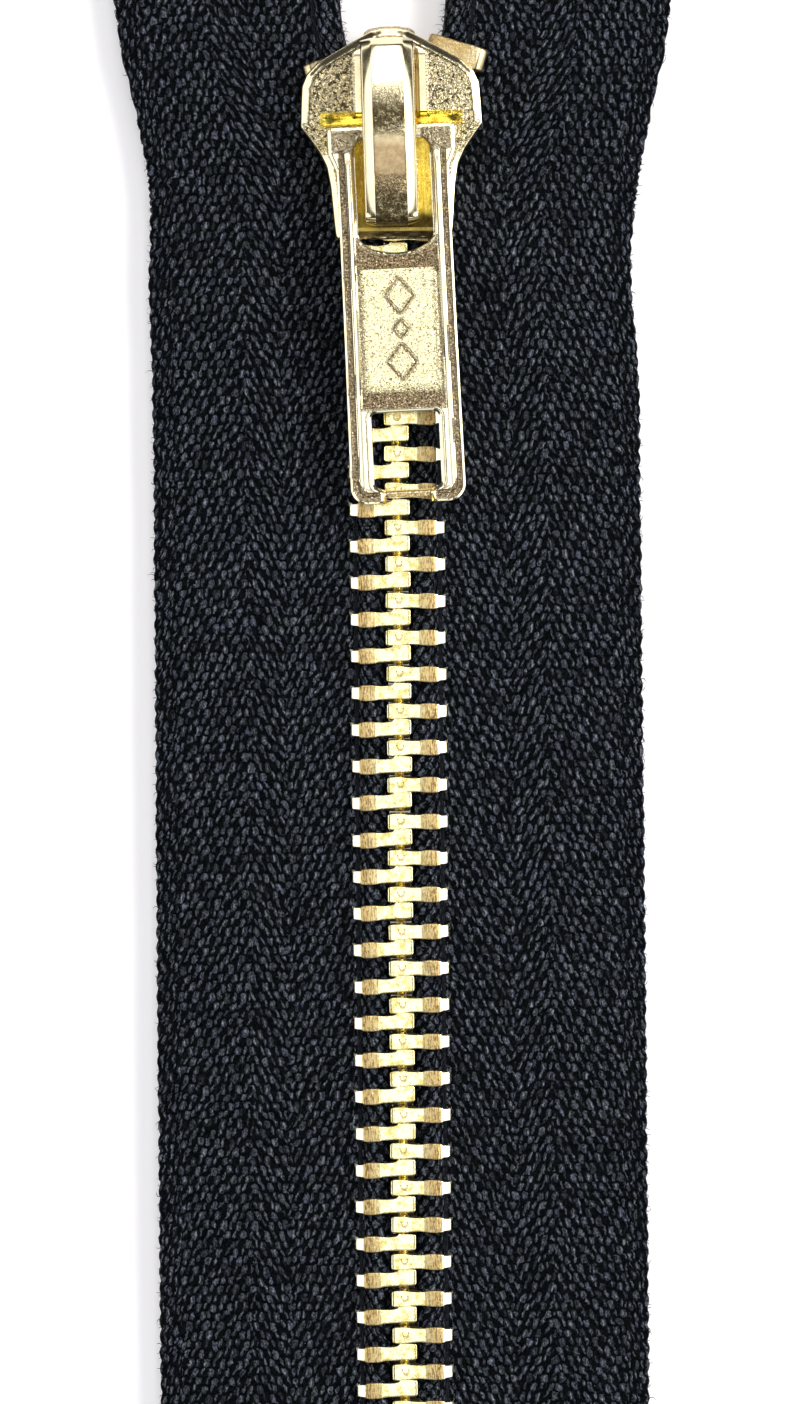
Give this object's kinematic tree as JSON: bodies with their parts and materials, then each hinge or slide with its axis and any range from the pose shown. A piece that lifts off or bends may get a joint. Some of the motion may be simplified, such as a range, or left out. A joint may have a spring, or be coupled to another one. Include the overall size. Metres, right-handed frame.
{
  "type": "metal zipper",
  "caption": "Closed-end metal zipper on woven tape, with interlocking U-shaped teeth, a self-locking slider with arched bridge, a hanging pull tab and end stops.",
  "frame": {"origin": "on the chain's centre line at the lower end of the bottom stop, in the middle plane of the tape", "axes": "+Y runs up the chain from the bottom stop towards the open end, +Z points out of the front face that carries the pull tab, +X runs across the tape to the right seen from the front"},
  "size_m": [0.041, 0.1452, 0.0081],
  "materials": {
    "tape": "black polyester herringbone tape",
    "tooth": "bright polished brass",
    "stop": "bright brass",
    "slider": "gilt, polished rims over stippled recesses",
    "pull": "gilt, polished rims over a stippled panel"
  },
  "bodies": {
    "base": {"bottom_stop": "stop", "left_tape_tail": "tape", "right_tape_tail": "tape"},
    "left_half": {"left_tape_main": "tape", "left_teeth_01": "tooth", "left_teeth_02": "tooth", "left_teeth_03": "tooth", "left_teeth_04": "tooth", "left_teeth_05": "tooth", "left_teeth_06": "tooth"},
    "right_half": {"right_tape_main": "tape", "right_teeth_01": "tooth", "right_teeth_02": "tooth", "right_teeth_03": "tooth", "right_teeth_04": "tooth", "right_teeth_05": "tooth", "right_teeth_06": "tooth"},
    "left_throat": {"left_tape_throat": "tape", "left_throat_tooth_1": "tooth", "left_throat_tooth_2": "tooth"},
    "right_throat": {"right_tape_throat": "tape", "right_throat_tooth_1": "tooth", "right_throat_tooth_2": "tooth"},
    "left_top": {"left_tape_end": "tape", "left_top_stop": "stop", "left_top_tooth_1": "tooth"},
    "right_top": {"right_tape_end": "tape", "right_top_stop": "stop", "right_top_tooth_1": "tooth", "right_top_tooth_2": "tooth"},
    "slider": {"bridge_cap": "slider", "slider_body": "slider"},
    "pull_tab": {"pull_tab": "pull"},
    "lock_leaf": {"lock_leaf": "slider"}
  },
  "joints": [
    {"name": "slider_travel", "type": "slide", "parent": "base", "child": "slider", "axis": [0, 1, 0], "range_m": [-0.0836, 0], "deforming": ["left_tape_main", "left_tape_throat", "left_teeth_01", "left_teeth_02", "left_teeth_03", "left_teeth_04", "left_teeth_05", "left_teeth_06", "right_tape_main", "right_tape_throat", "right_teeth_01", "right_teeth_02", "right_teeth_03", "right_teeth_04", "right_teeth_05", "right_teeth_06"]},
    {"name": "left_side_open", "type": "hinge", "parent": "base", "child": "left_half", "pos_m": [-0.0019, 0.005, 0], "axis": [0, 0, 1], "range_deg": [0, 8]},
    {"name": "right_side_open", "type": "hinge", "parent": "base", "child": "right_half", "pos_m": [0.0019, 0.005, 0], "axis": [0, 0, 1], "range_deg": [-8, 0]},
    {"name": "left_throat_flex", "type": "hinge", "parent": "left_half", "child": "left_throat", "pos_m": [-0.0019, 0.0905, 0], "axis": [0, 0, 1], "range_deg": [-6, 0]},
    {"name": "right_throat_flex", "type": "hinge", "parent": "right_half", "child": "right_throat", "pos_m": [0.0019, 0.0905, 0], "axis": [0, 0, 1], "range_deg": [0, 6]},
    {"name": "left_top_flex", "type": "hinge", "parent": "left_throat", "child": "left_top", "pos_m": [-0.00241, 0.09537, 0], "axis": [0, 0, 1], "range_deg": [-10, 0]},
    {"name": "right_top_flex", "type": "hinge", "parent": "right_throat", "child": "right_top", "pos_m": [0.00241, 0.09537, 0], "axis": [0, 0, 1], "range_deg": [0, 10]},
    {"name": "pull_swing", "type": "hinge", "parent": "slider", "child": "pull_tab", "pos_m": [-0.00019, 0.0952, 0.0033], "axis": [-0.9992, -0.0401, 0], "range_deg": [0, 180]},
    {"name": "lock_lift", "type": "hinge", "parent": "slider", "child": "lock_leaf", "pos_m": [-0.00015, 0.0994, 0.00429], "axis": [-1, 0, 0], "range_deg": [0, 3.05]}
  ],
  "couplings": [
    {"joint": "left_side_open", "follows": "slider_travel", "rad_per_m": -1.67},
    {"joint": "right_side_open", "follows": "slider_travel", "rad_per_m": 1.67},
    {"joint": "left_throat_flex", "follows": "slider_travel", "rad_per_m": 1.2525},
    {"joint": "right_throat_flex", "follows": "slider_travel", "rad_per_m": -1.2525},
    {"joint": "left_top_flex", "follows": "slider_travel", "rad_per_m": 2.0875},
    {"joint": "right_top_flex", "follows": "slider_travel", "rad_per_m": -2.0875},
    {"joint": "lock_lift", "follows": "pull_swing", "ratio": 0.0169}
  ]
}
